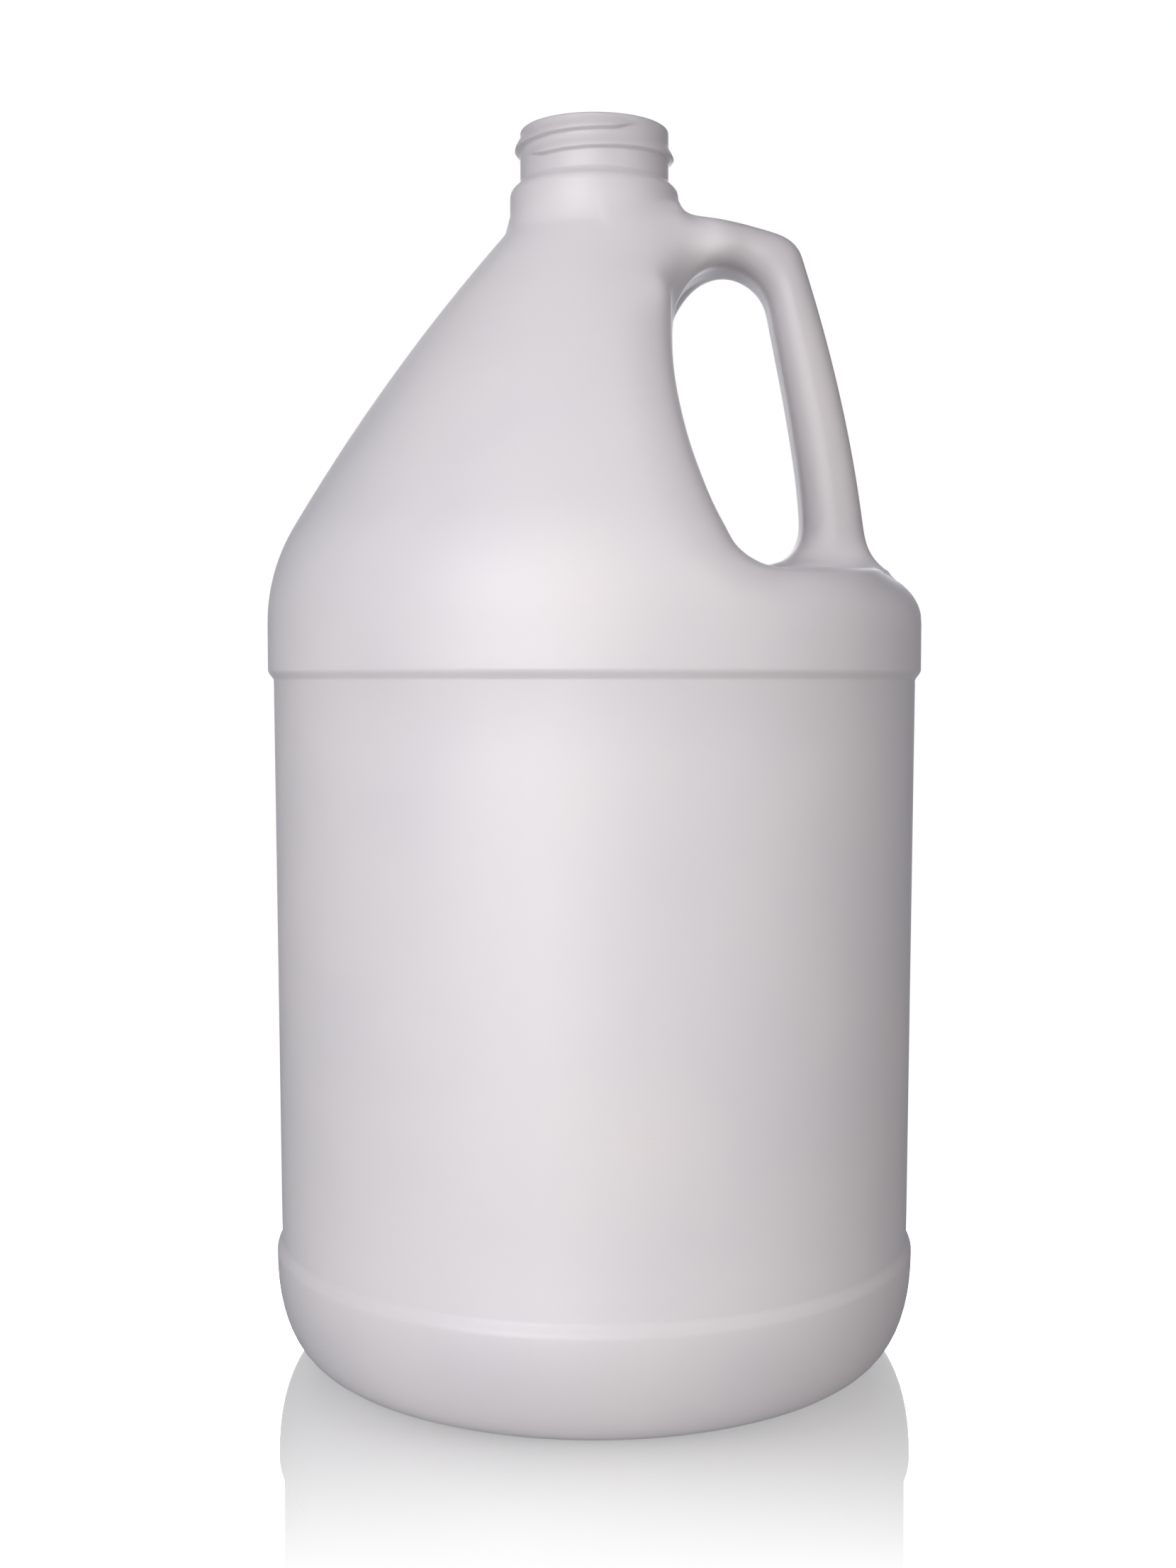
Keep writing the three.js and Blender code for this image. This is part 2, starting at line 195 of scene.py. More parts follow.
@dataclass(frozen=True)
class LowerForm:
    """Sizes of the lower body: push-up, standing ring, heel, base step, side and shoulder step."""

    push_up: float = 6.0
    ring_inner: float = 54.0
    heel_width: float = 13.7
    heel_roundness: float = 2.25
    band_radius: float = 77.1
    band_top: float = 25.4
    base_step: float = 3.4
    side_bottom: float = 75.9
    side_top: float = 76.85
    side_top_height: float = 161.9
    shoulder_step: float = 2.5
    shoulder_radius: float = 78.2
    shoulder_top: float = 175.1
    step_skew: float = 1.15
    ridge_skew: float = 0.8
    under_count: int = 7
    ring_count: int = 4
    heel_count: int = 15
    step_count: int = 11
    side_count: int = 9
    ridge_count: int = 10
    band_count: int = 4

    def rows(self) -> list[Pair]:
        """The lower body's half profile.

        Returns:
            Radius and height pairs from the middle of the base to the top of the shoulder band.
        """
        under = [(self.ring_inner * t, self.push_up * (1 - t * t))
                 for t in np.linspace(0, 1, self.under_count)]
        heel_start = self.band_radius - self.heel_width
        ring = [(r, 0.0) for r in np.linspace(self.ring_inner, heel_start, self.ring_count)[1:-1]]
        full = 2 / self.heel_roundness
        heel = [
            (heel_start + self.heel_width * math.sin(t) ** full,
             self.band_top * (1 - max(math.cos(t), 0) ** full))
            for t in np.linspace(0, math.pi / 2, self.heel_count)
        ]
        return [*under, *ring, *heel, *self.step_rows(), *self.side_rows(), *self.ridge_rows()]

    def step_rows(self) -> list[Pair]:
        """The base band's upper edge, round above and hollow where it meets the side.

        Returns:
            Radius and height pairs, upwards.
        """
        shares = np.linspace(0, 1, self.step_count)[1:]
        fall = self.band_radius - self.side_bottom
        return [(self.band_radius - fall * float(ease(t ** self.step_skew)),
                 self.band_top + self.base_step * t)
                for t in shares]

    def side_rows(self) -> list[Pair]:
        """The side, a little wider at its top.

        Returns:
            Radius and height pairs, upwards.
        """
        foot = self.band_top + self.base_step
        return [(self.side_bottom + (self.side_top - self.side_bottom) * t,
                 foot + (self.side_top_height - foot) * t)
                for t in np.linspace(0, 1, self.side_count)[1:]]

    def ridge_rows(self) -> list[Pair]:
        """The shoulder step and the plain band above it.

        Returns:
            Radius and height pairs, upwards.
        """
        rise = self.shoulder_radius - self.side_top
        step = [(self.side_top + rise * float(ease(t ** self.ridge_skew)),
                 self.side_top_height + self.shoulder_step * t)
                for t in np.linspace(0, 1, self.ridge_count)[1:]]
        foot = self.side_top_height + self.shoulder_step
        band = [(self.shoulder_radius, foot + (self.shoulder_top - foot) * t)
                for t in np.linspace(0, 1, self.band_count)[1:]]
        return [*step, *band]


@dataclass(frozen=True)
class ShoulderForm:
    """The round shoulder, cone and collar, with the handle recess pressed into their side."""

    band_radius: float = LowerForm.shoulder_radius
    band_top: float = LowerForm.shoulder_top
    arc_radius: float = 44.3
    cone_foot_degrees: float = 30.6
    bow_radius: float = 482.0
    fillet: float = 8.0
    collar_radius: float = 20.2
    collar_base: float = 270.5
    collar_round_from: float = 276.6
    collar_round_pull: Pair = (collar_radius, 278.5)
    collar_round_to: Pair = (18.9, 279.2)
    neck_root: float = 280.5
    neck_radius: float = 17.75
    neck_top: float = 292.1
    wall_x: float = 18.7
    wall_straight_above: float = 243.6
    wall_curve: float = 104.0
    recess_fades_above: float = 250.0
    recess_fade: float = 0.03
    shelf_height: float = 188.5
    corner_radius: float = 6.0
    roll_radius: float = 24.0
    roll_cut: float = 11.5
    roll_fades_above: float = 240.0
    roll_fade: float = 0.08
    edge_round: float = 2.4
    sharpest_round: float = 0.02
    rim_round: float = 12.2
    rim_from: float = 50.0
    rim_spread: float = 20.0
    wall_draft: float = math.tan(math.radians(3.5))
    shelf_draft: float = math.tan(math.radians(3.0))
    crown: float = 6.0
    lowest_origin: float = 152.0
    highest_origin: float = 268.0
    first_slope: float = math.radians(18)
    steepest_slope: float = math.radians(52)
    origin_power: float = 2.5
    halvings: int = 36
    search_count: int = 4001
    collar_count: int = 7

    def cone_marks(self) -> dict[str, float]:
        """Where the shoulder arc, the bowed cone and the fillet meet.

        Returns:
            Heights of the cone's foot and head and of the fillet's top, and the bow's centre.
        """
        turn = math.radians(self.cone_foot_degrees)
        foot_radius = self.band_radius - self.arc_radius * (1 - math.cos(turn))
        foot = self.band_top + self.arc_radius * math.sin(turn)
        centre_radius = foot_radius - self.bow_radius * math.cos(turn)
        centre = foot - self.bow_radius * math.sin(turn)
        reach = (self.collar_radius + self.fillet - centre_radius) / (self.bow_radius + self.fillet)
        head_turn = math.acos(reach)
        head = centre + self.bow_radius * math.sin(head_turn)
        return {"foot": foot, "centre_radius": centre_radius, "centre": centre, "head": head,
                "fillet_top": head + self.fillet * math.sin(head_turn)}

    def collar_rows(self) -> list[Pair]:
        """The collar's round top, up to the root of the neck.

        Returns:
            Radius and height pairs, upwards.
        """
        start = (self.collar_radius, self.collar_round_from)
        share = np.linspace(0, 1, self.collar_count)
        curve = bezier(start, self.collar_round_pull, self.collar_round_to, share)
        return [*map(tuple, curve), (self.neck_radius, self.neck_root)]

    def radius(self, z: Points) -> Points:
        """The round body before the recess is pressed in.

        Args:
            z: Heights.

        Returns:
            The radius at each height.
        """
        marks = self.cone_marks()
        rise = np.clip(z - self.band_top, 0, self.arc_radius)
        shoulder = self.band_radius - self.arc_radius + np.sqrt(self.arc_radius ** 2 - rise ** 2)
        up = np.clip(z - marks["centre"], 0, self.bow_radius)
        cone = marks["centre_radius"] + np.sqrt(self.bow_radius ** 2 - up ** 2)
        drop = np.clip(marks["fillet_top"] - z, 0, self.fillet)
        fillet = self.collar_radius + self.fillet - np.sqrt(self.fillet ** 2 - drop ** 2)
        radii, heights = np.array(self.collar_rows()).T
        neck = np.interp(z, heights, radii)
        return np.select(
            [z < self.band_top, z < marks["foot"], z < marks["head"], z < self.collar_round_from],
            [np.full_like(z, self.band_radius), shoulder, cone, fillet],
            neck,
        )

    def distance(self, points: Points) -> Points:
        """The shoulder with its recess, as a signed distance.

        Args:
            points: Points to look at, one row each.

        Returns:
            Each point's distance from the surface, negative inside.
        """
        x, y, z = points.T
        slope = self.radius(z + 0.5) - self.radius(z - 0.5)
        round_body = (np.hypot(x, y) - self.radius(z)) / np.hypot(1, slope)
        drop = np.minimum(z - self.wall_straight_above, 0)
        spread = np.hypot(y, self.crown) - self.crown
        fade = self.recess_fade * np.maximum(z - self.recess_fades_above, 0) ** 2
        hollow = self.wall_curve - np.hypot(self.wall_x + self.wall_curve - x, drop)
        from_wall = hollow + spread * self.wall_draft - fade
        from_shelf = z - self.shelf_height + spread * self.shelf_draft
        recess = -rounded_max(-from_wall, -from_shelf, self.corner_radius)
        out = ease((x - self.rim_from) / self.rim_spread)
        roll = self.roll_radius + (self.rim_round - self.roll_radius) * out
        past = self.roll_fade * np.maximum(z - self.roll_fades_above, 0) ** 2
        rolled = rounded_max(round_body, recess - self.roll_cut * (1 - out) - past, roll)
        return rounded_max(rolled, recess, np.maximum(self.edge_round * (1 - out), self.sharpest_round))

    def gradient(self, points: Points, step: float = 0.05) -> Points:
        """Direction in which the signed distance grows, found from small steps along each axis.

        Args:
            points: Points to look at, one row each.
            step: Length of the steps.

        Returns:
            One direction for each point.
        """
        moves = step * np.eye(3)
        slopes = [(self.distance(points + m) - self.distance(points - m)) / (2 * step) for m in moves]
        return np.stack(slopes, axis=1)

    def on_rays(self, share: Points, angle: Points) -> Points:
        """Points of the surface along rays from the axis.

        Args:
            share: Each ray's place between the lowest, 0, and the highest, 1.
            angle: Each ray's direction round the axis, in radians.

        Returns:
            One row for each ray.
        """
        rise = self.highest_origin - self.lowest_origin
        origin = self.lowest_origin + rise * share ** self.origin_power
        steeper = self.steepest_slope - self.first_slope
        growing = self.first_slope + steeper * (1 - np.cos(np.pi * share))
        levelling = self.steepest_slope * np.cos(np.pi * (share - 0.5))
        slope = np.where(share < 0.5, growing, levelling)
        level = np.cos(slope)
        way = np.stack([level * np.cos(angle), level * np.sin(angle), np.sin(slope)], axis=1)
        start = np.stack([np.zeros_like(origin), np.zeros_like(origin), origin], axis=1)
        near = np.zeros_like(origin)
        far = np.full_like(origin, 2 * self.band_radius)
        for _ in range(self.halvings):
            middle = (near + far) / 2
            inside = self.distance(start + way * middle[:, None]) < 0
            near = np.where(inside, middle, near)
            far = np.where(inside, far, middle)
        return start + way * near[:, None]

    def share_where(self, axis: int, value: float, low: float, high: float) -> float:
        """The share whose ray on the handle's side meets the surface at a value of x or z.

        Args:
            axis: 0 for x or 2 for z.
            value: The value to meet.
            low: Share to search from.
            high: Share to search to.

        Returns:
            The share.
        """
        shares = np.linspace(low, high, self.search_count)
        found = self.on_rays(shares, np.zeros_like(shares))[:, axis]
        return float(shares[np.argmin(np.abs(found - value))])


@dataclass(frozen=True)
class HandleForm:
    """The handle's two edges in the parting plane, and its half depths, leans and section along them."""

    head_centre: Pair = (30.2, 247.8)
    head_radius: float = 11.8
    head_angles: tuple[float, ...] = (184, 128, 72, 4)
    grip_pull: Pair = (49.95, 211.2)
    foot_centre: Pair = (40.9, 198.4)
    foot_radius: float = 9.0
    outer_marks: tuple[Pair, ...] = (
        (20, 275.4), (25.6, 271.6), (42, 268.1), (49.6, 261.6), (64.5, 197.8), (71.2, 187.2))
    outer_pulls: tuple[Pair, ...] = (
        (20.3, 271.9), (33, 270.8), (48.6, 266.5), (60.35, 229.4), (65.2, 190.2))
    half_depths: tuple[float, ...] = (17.4, 15.0, 12.0, 11, 11.8, 16)
    leans: tuple[float, ...] = (0.2, 0.14, 0.04, 0, 0, 0)
    roundness: float = 4.6
    ridge: float = 2.6
    ridge_power: float = 1.7
    buried: float = 9.0
    edge_reach: float = 9.0
    stretch_steps: tuple[int, ...] = (12, 14, 18, 34, 14)
    smoothings: int = 6

    def inner_edge(self, stretch: int, share: Points) -> Points:
        """The finger hole's edge along one stretch of the handle.

        Args:
            stretch: The stretch, from the collar, 0, to the shelf, 4.
            share: Places along it, from 0 to 1.

        Returns:
            One row of x and z for each place.
        """
        if stretch < 3:
            start, end = self.head_angles[stretch:stretch + 2]
            return arc(self.head_centre, self.head_radius, start, end, share)
        foot_start = (self.foot_centre[0] + self.foot_radius, self.foot_centre[1])
        if stretch == 3:
            corner = arc(self.head_centre, self.head_radius, 0, self.head_angles[3], np.ones(1))[0]
            return bezier(tuple(corner), self.grip_pull, foot_start, share)
        return arc(self.foot_centre, self.foot_radius, 0, -90, share)

    def stations(self) -> Points:
        """The handle's sections, from the collar to the shelf.

        Returns:
            Inner x and z, outer x and z, half depth and lean, one row for each section.
        """
        parts = []
        for stretch, steps in enumerate(self.stretch_steps):
            share = np.linspace(0, 1, steps + 1)[(0 if stretch == 0 else 1):]
            inner = self.inner_edge(stretch, share)
            start, end = self.outer_marks[stretch:stretch + 2]
            outer = bezier(start, self.outer_pulls[stretch], end, share)
            blends = [values[stretch] + (values[stretch + 1] - values[stretch]) * ease(share)
                      for values in (self.half_depths, self.leans)]
            parts.append(np.column_stack([inner, outer, *blends]))
        rows = np.concatenate(parts)
        for _ in range(self.smoothings):
            rows[1:-1] = (rows[:-2] + 2 * rows[1:-1] + rows[2:]) / 4
        return rows

    def ring(self, station: Points, turn: Points) -> Points:
        """One section of the handle, a rounded box with a soft ridge down its front and its back.

        A lean makes the section deeper towards its inner edge, as it is where the cone flows into it.

        Args:
            station: A row of stations().
            turn: Triples round the section, in radians from the outer edge.

        Returns:
            One row for each place.
        """
        inner, outer, depth, lean = station[:2], station[2:4], station[4], station[5]
        level, upright = np.cos(turn), np.sin(turn)
        power = np.abs(level) ** self.roundness + np.abs(upright) ** self.roundness
        size = power ** (-1 / self.roundness)
        side = level * size / 2
        fall = self.ridge * np.abs(2 * side) ** self.ridge_power
        out = upright * size * (depth * (1 - 2 * lean * side) - fall)
        edge = (inner + outer) / 2 + side[:, None] * (outer - inner)
        return np.stack([edge[:, 0], -out, edge[:, 1]], axis=1)

    def side_share(self, points: Points, at_root: Points) -> Points:
        """How far points stand from the handle's two edges, seen from the front.

        Args:
            points: Points near one end of the handle.
            at_root: True for points near the upper end.

        Returns:
            0 at and beyond an edge, 1 well inside both.
        """
        x, _, z = points.T
        lift = np.sqrt(np.maximum(self.head_radius ** 2 - (x - self.head_centre[0]) ** 2, 0))
        top_x, top_z = np.array(self.outer_marks[:3]).T
        above = z - self.head_centre[1] - lift
        below = np.interp(x, top_x, top_z) - z
        sink = np.maximum(self.foot_centre[1] - z, 0)
        width = np.sqrt(np.maximum(self.foot_radius ** 2 - sink ** 2, 0))
        foot_x, foot_z = np.array(self.outer_marks[:3:-1]).T
        right_of = x - self.foot_centre[0] - width
        left_of = np.interp(z, foot_z, foot_x) - x
        first = np.where(at_root, above, right_of)
        second = np.where(at_root, below, left_of)
        return ease(first / self.edge_reach) * ease(second / self.edge_reach)

    def solid(self, around: int = 72) -> BVHTree:
        """The whole handle with its buried ends, to measure distances from.

        Args:
            around: How many points each section has.

        Returns:
            A search tree of its faces.
        """
        rows = self.stations()
        turn = np.arange(around) * 2 * np.pi / around
        rings = [self.ring(row, turn) for row in rows]
        rings.insert(0, rings[0] - [self.buried, 0, 0])
        rings.append(rings[-1] - [0, 0, self.buried])
        corners = [(0, 0), (0, 1), (1, 1), (1, 0)]
        faces = [
            tuple((a + up) * around + (i + on) % around for up, on in corners)
            for a in range(len(rings) - 1) for i in range(around)
        ]
        return BVHTree.FromPolygons([tuple(p) for p in np.concatenate(rings)], faces)


class Joint(Enum):
    """Where the handle grows out of the body: heights in mm that hold each joint's open edges."""

    ROOT = (235.0, 282.0)
    FOOT = (170.0, 235.0)


@dataclass(frozen=True)
class Neighbours:
    """The two ends of each edge of a mesh, and the number of edges at each of its points."""

    starts: Points
    ends: Points
    count: Points

    @classmethod
    def of(cls, obj: Piece) -> "Neighbours":
        """Reads the edges of an object's mesh.

        Args:
            obj: The object.

        Returns:
            Its neighbours.
        """
        edges = np.empty(2 * len(obj.data.edges), int)
        obj.data.edges.foreach_get("vertices", edges)
        starts, ends = edges.reshape(-1, 2).T
        return cls(starts, ends, np.bincount(edges, minlength=len(obj.data.vertices)))

    def mean(self, points: Points, chosen: Points) -> Points:
        """Where the neighbours of some points are on average.

        Args:
            points: All points of the mesh.
            chosen: Numbers of the points asked about.

        Returns:
            One row for each of them.
        """
        total = np.zeros_like(points)
        np.add.at(total, self.starts, points[self.ends])
        np.add.at(total, self.ends, points[self.starts])
        return total[chosen] / self.count[chosen][:, None]


@dataclass
class Jug:
    """The whole jug: lathe-turned body, pressed recess, handle, wall, rim and thread, in one piece."""

    lower: LowerForm = field(default_factory=LowerForm)
    shoulder: ShoulderForm = field(default_factory=ShoulderForm)
    handle: HandleForm = field(default_factory=HandleForm)
    columns: int = 180
    handle_around: int = 124
    root_columns: int = 22
    foot_columns: int = 10
    foot_rows: int = 42
    foot_outer_x: float = 73.6
    foot_inner_x: float = 37.8
    root_bottom: float = 243.5
    collar_rows: int = 4
    neck_rows: int = 48
    clear_at_root: float = 0.3
    clear_at_foot: float = 0.25
    bridge_cuts: int = 8
    wall: float = 0.9
    neck_wall: float = 1.85
    neck_wall_from: float = 277.0
    neck_wall_blend: float = 3.5
    rim_height: float = 292.7
    lip_insets: tuple[Pair, ...] = ((0.06, 0.35), (0.12, 0.3), (0.22, 0.25), (0.3, 0.1))
    end_slack: float = 0.05
    neck_slack: float = 0.2
    root_fillet: float = 10.0
    foot_fillet: float = 4.0
    middle_fillet: float = 0.8
    fillet_spread: float = 11.0
    joint_from_x: float = 2.0
    joint_half_width: float = 40.0
    joint_heights: Pair = (178.0, 279.5)
    joint_spread: float = 1.6
    joint_turns: int = 24
    careful_turns: int = 4
    careful_rounds: int = 3
    longest_move: float = 3.0
    least_slope: float = 0.25
    flow_passes: int = 48
    flow_spread: float = 9.0
    flow_clear: float = 0.4
    flow_heights: Pair = (247.0, 271.0)
    flow_fade_in: float = 9.0
    flow_fade_out: float = 7.0
    thread_pitch: float = 4.233
    thread_reach: float = 1.25
    thread_half_height: float = 1.9
    thread_crest: float = 0.72
    thread_start: float = -152.0
    thread_end: float = 305.0
    thread_fade: float = 24.0
    thread_end_share: float = 0.15
    thread_start_height: float = 285.5
    rows_below_foot: int = 7
    rows_between: int = 25
    rows_above: int = 18
    obj: Piece | None = None
    shares: Points | None = None
    first_row: int = 0
    row_of: Points | None = None
    angle_of: Points | None = None
    column_of: Points | None = None

    def build(self) -> Piece:
        """Models the jug from its turned body to its thread.

        Returns:
            The finished piece.
        """
        self.turn_body()
        self.press_recess()
        self.open_for_handle()
        self.add_handle()
        self.bridge_handle()
        self.settle_joints()
        self.thicken_wall()
        self.round_rim()
        self.raise_thread()
        select_only(self.obj)
        bpy.ops.object.shade_smooth()
        return self.obj

    def shoulder_shares(self) -> Points:
        """Where the shoulder's rows lie, a set number of them across the handle's foot and root.

        Returns:
            The rows' ray shares, upwards.
        """
        outer_edge = self.shoulder.share_where(0, self.foot_outer_x, 0, 0.5)
        inner_edge = self.shoulder.share_where(0, self.foot_inner_x, 0.1, 0.8)
        root = self.shoulder.share_where(2, self.root_bottom, 0.4, 1)
        return np.concatenate([
            np.linspace(0, outer_edge, self.rows_below_foot + 1)[:-1],
            np.linspace(outer_edge, inner_edge, self.foot_rows + 1)[:-1],
            np.linspace(inner_edge, root, self.rows_between + 1)[:-1],
            np.linspace(root, 1, self.rows_above),
        ])

    def profile(self) -> list[Pair]:
        """The round body's half profile.

        Returns:
            Radius and height pairs, from the middle of the base to the top of the neck.
        """
        lower = self.lower.rows()
        shares = self.shoulder_shares()
        far_side = self.shoulder.on_rays(shares, np.full_like(shares, np.pi))
        cone = [(float(np.hypot(x, y)), float(z)) for x, y, z in far_side]
        self.shares = shares
        self.first_row = len(lower)
        form = self.shoulder
        collar = [(form.collar_radius, float(z))
                  for z in np.linspace(form.collar_base, form.collar_round_from, self.collar_rows)[1:-1]]
        neck = [(form.neck_radius, float(z))
                for z in np.linspace(form.neck_root, form.neck_top, self.neck_rows + 1)[1:]]
        return [*lower, *cone, *collar, *form.collar_rows(), *neck]

    def turn_body(self) -> None:
        """Draws the profile by extruding a point along it, and spins it round the axis."""
        rows = self.profile()
        deselect_all()
        bpy.ops.mesh.primitive_plane_add(size=0.01, location=(0, 0, 0))
        self.obj = bpy.context.object
        self.obj.name = "jug_moulded_body"
        edit(self.obj)
        bpy.ops.mesh.merge(type="CENTER")
        bpy.ops.transform.translate(value=(rows[0][0] * MM, 0, rows[0][1] * MM))
        for (r0, z0), (r1, z1) in zip(rows, rows[1:]):
            bpy.ops.mesh.extrude_vertices_move(
                TRANSFORM_OT_translate={"value": ((r1 - r0) * MM, 0, (z1 - z0) * MM)})
        bpy.ops.mesh.select_all(action="SELECT")
        bpy.ops.mesh.spin(steps=self.columns, angle=2 * math.pi, center=(0, 0, 0), axis=(0, 0, 1),
                          use_auto_merge=True)
        bpy.ops.mesh.select_all(action="SELECT")
        bpy.ops.mesh.remove_doubles(threshold=MERGE)
        bpy.ops.mesh.normals_make_consistent(inside=False)
        bpy.ops.object.mode_set(mode="OBJECT")
        tree = KDTree(len(rows))
        for i, (r, z) in enumerate(rows):
            tree.insert((r, z, 0), i)
        tree.balance()
        points = points_of(self.obj)
        self.row_of = np.array([tree.find((math.hypot(x, y), z, 0))[1] for x, y, z in points])
        self.angle_of = np.arctan2(points[:, 1], points[:, 0])
        self.column_of = np.round(self.angle_of * self.columns / (2 * np.pi)).astype(int)

    def press_recess(self) -> None:
        """Moves the shoulder's points in along their rays to the recess for the handle."""
        points = points_of(self.obj)
        share_row = self.row_of - self.first_row
        chosen = (share_row >= 0) & (share_row < len(self.shares))
        points[chosen] = self.shoulder.on_rays(self.shares[share_row[chosen]], self.angle_of[chosen])
        place_points(self.obj, points)

    def open_for_handle(self) -> None:
        """Opens the body where the handle's root and foot grow out of it."""
        mesh = self.obj.data
        foot_first = self.first_row + self.rows_below_foot
        root_first = foot_first + self.foot_rows + self.rows_between
        root_rows = self.handle_around // 2 - 2 * self.root_columns
        foot = (foot_first, self.foot_columns, self.foot_rows)
        root = (root_first, self.root_columns, root_rows)
        mesh.vertices.foreach_set("select", np.zeros(len(mesh.vertices), bool))
        mesh.edges.foreach_set("select", np.zeros(len(mesh.edges), bool))
        for face in mesh.polygons:
            rows = self.row_of[list(face.vertices)]
            columns = self.column_of[list(face.vertices)]
            face.select = any(
                rows.min() >= first and rows.max() <= first + count and np.abs(columns).max() <= half
                for first, half, count in (foot, root))
        select_only(self.obj)
        bpy.ops.object.mode_set(mode="EDIT")
        bpy.ops.mesh.select_mode(type="FACE")
        bpy.ops.mesh.delete(type="FACE")
        bpy.ops.mesh.select_mode(type="VERT")
        bpy.ops.object.mode_set(mode="OBJECT")

    def add_handle(self) -> None:
        """Rolls a grid into the handle's tube, clear of the body at both ends, and joins it on."""
        steps = self.handle.stretch_steps
        first = steps[0] + round(self.clear_at_root * steps[1])
        last = sum(steps[:4]) + round(self.clear_at_foot * steps[4])
        rows = self.handle.stations()[first:last + 1]
        deselect_all()
        bpy.ops.mesh.primitive_grid_add(
            x_subdivisions=self.handle_around, y_subdivisions=len(rows) - 1, size=2)
        tube = bpy.context.object
        flat = points_of(tube) * MM
        around = np.round((flat[:, 0] + 1) / 2 * self.handle_around).astype(int)
        along = np.round((flat[:, 1] + 1) / 2 * (len(rows) - 1)).astype(int)
        turn = 2 * np.pi * np.arange(self.handle_around + 1) / self.handle_around
        rings = np.stack([self.handle.ring(row, turn) for row in rows])
        place_points(tube, rings[along, around])
        edit(tube)
        bpy.ops.mesh.remove_doubles(threshold=MERGE)
        bpy.ops.object.mode_set(mode="OBJECT")
        select_only(self.obj)
        tube.select_set(True)
        bpy.ops.object.join()

    def bridge_handle(self) -> None:
        """Bridges the handle's open ends to the openings in the body."""
        for joint in Joint:
            edit(self.obj, "DESELECT")
            bpy.ops.mesh.select_mode(type="EDGE")
            grown = bmesh.from_edit_mesh(self.obj.data)
            low, high = joint.value
            for edge in grown.edges:
                height = (edge.verts[0].co.z + edge.verts[1].co.z) / 2 / MM
                edge.select_set(edge.is_boundary and low < height < high)
            bmesh.update_edit_mesh(self.obj.data)
            bpy.ops.mesh.bridge_edge_loops(number_cuts=self.bridge_cuts, interpolation="LINEAR")
            bpy.ops.mesh.select_mode(type="VERT")
        bpy.ops.mesh.select_all(action="SELECT")
        bpy.ops.mesh.normals_make_consistent(inside=False)
        bpy.ops.object.mode_set(mode="OBJECT")

    def fillet(self, points: Points) -> Points:
        """The hollow between handle and body, wide at the sides and tight at the two edges.

        Args:
            points: Points near the handle's ends.

        Returns:
            The hollow's radius at each point.
        """
        at_root = points[:, 2] > Joint.ROOT.value[0]
        widest = np.where(at_root, self.root_fillet, self.foot_fillet)
        share = ease(np.abs(points[:, 1]) / self.fillet_spread) * self.handle.side_share(points, at_root)
        return self.middle_fillet + (widest - self.middle_fillet) * share

    def joint_field(self, points: Points, solid: BVHTree) -> tuple[Points, Points, Points]:
        """The blended surface of body and handle near some points.

        Args:
            points: Points to look at.
            solid: The handle's search tree.

        Returns:
            Signed distance, its direction, and the larger of the distances to body and handle.
        """
        body = self.shoulder.distance(points)
        body_way = self.shoulder.gradient(points)
        found = [solid.find_nearest(tuple(p)) for p in points]
        way = np.array([tuple(f[1]) for f in found])
        gap = points - np.array([tuple(f[0]) for f in found])
        length = np.linalg.norm(gap, axis=1)
        side = np.sign(np.einsum("ij,ij->i", gap, way))
        grip = length * side
        clear = gap * (side / np.maximum(length, TOUCH))[:, None]
        grip_way = np.where(length[:, None] > TOUCH, clear, way)
        k = self.fillet(points)
        in_body = np.maximum(k - body, 0)
        in_grip = np.maximum(k - grip, 0)
        both = np.hypot(in_body, in_grip)
        value = np.maximum(k, np.minimum(body, grip)) - both
        weighed = in_body[:, None] * body_way + in_grip[:, None] * grip_way
        near = weighed / np.maximum(both, TINY)[:, None]
        far = np.where((body < grip)[:, None], body_way, grip_way)
        return value, np.where((both > TINY)[:, None], near, far), np.maximum(body, grip)

    def joint_zone(self, points: Points) -> Points:
        """Finds the points round both ends of the handle.

        Args:
            points: All points of the mesh.

        Returns:
            Their numbers.
        """
        x, y, z = points.T
        low, high = self.joint_heights
        across = (x > self.joint_from_x) & (np.abs(y) < self.joint_half_width)
        return np.flatnonzero(across & (z > low) & (z < high))

    def flow(self, points: Points) -> Points:
        """How freely points are smoothed in the end.

        Args:
            points: Points near the handle's ends.

        Returns:
            1 beside the handle's root, 0 away from it.
        """
        _, y, z = points.T
        low, high = self.flow_heights
        beside = ease(np.abs(y) / self.flow_spread - self.flow_clear)
        return beside * ease((z - low) / self.flow_fade_in) * ease((high - z) / self.flow_fade_out)

    def settle_joints(self) -> None:
        """Draws the bridges and the points round them onto one smooth surface, hollow beside the handle.

        The sides of the handle's root are then smoothed once more, so that the cone flows into them.
        """
        solid = self.handle.solid()
        neighbours = Neighbours.of(self.obj)
        points = points_of(self.obj)
        zone = self.joint_zone(points)
        _, _, reach = self.joint_field(points[zone], solid)
        farthest = self.joint_spread * self.root_fillet
        loose = zone[reach < farthest]
        give = 0.5 * ease(2 - 2 * reach[reach < farthest] / farthest)[:, None]
        for turns_left in range(self.joint_turns, 0, -1):
            moved = (1 - give) * points[loose] + give * neighbours.mean(points, loose)
            rounds = self.careful_rounds if turns_left <= self.careful_turns else 1
            points[loose] = self.onto_surface(moved, solid, rounds)
        points[zone] = self.onto_surface(points[zone], solid, self.careful_rounds)
        soft = give * self.flow(points[loose])[:, None]
        for _ in range(self.flow_passes):
            points[loose] += soft * (neighbours.mean(points, loose) - points[loose])
        place_points(self.obj, points)

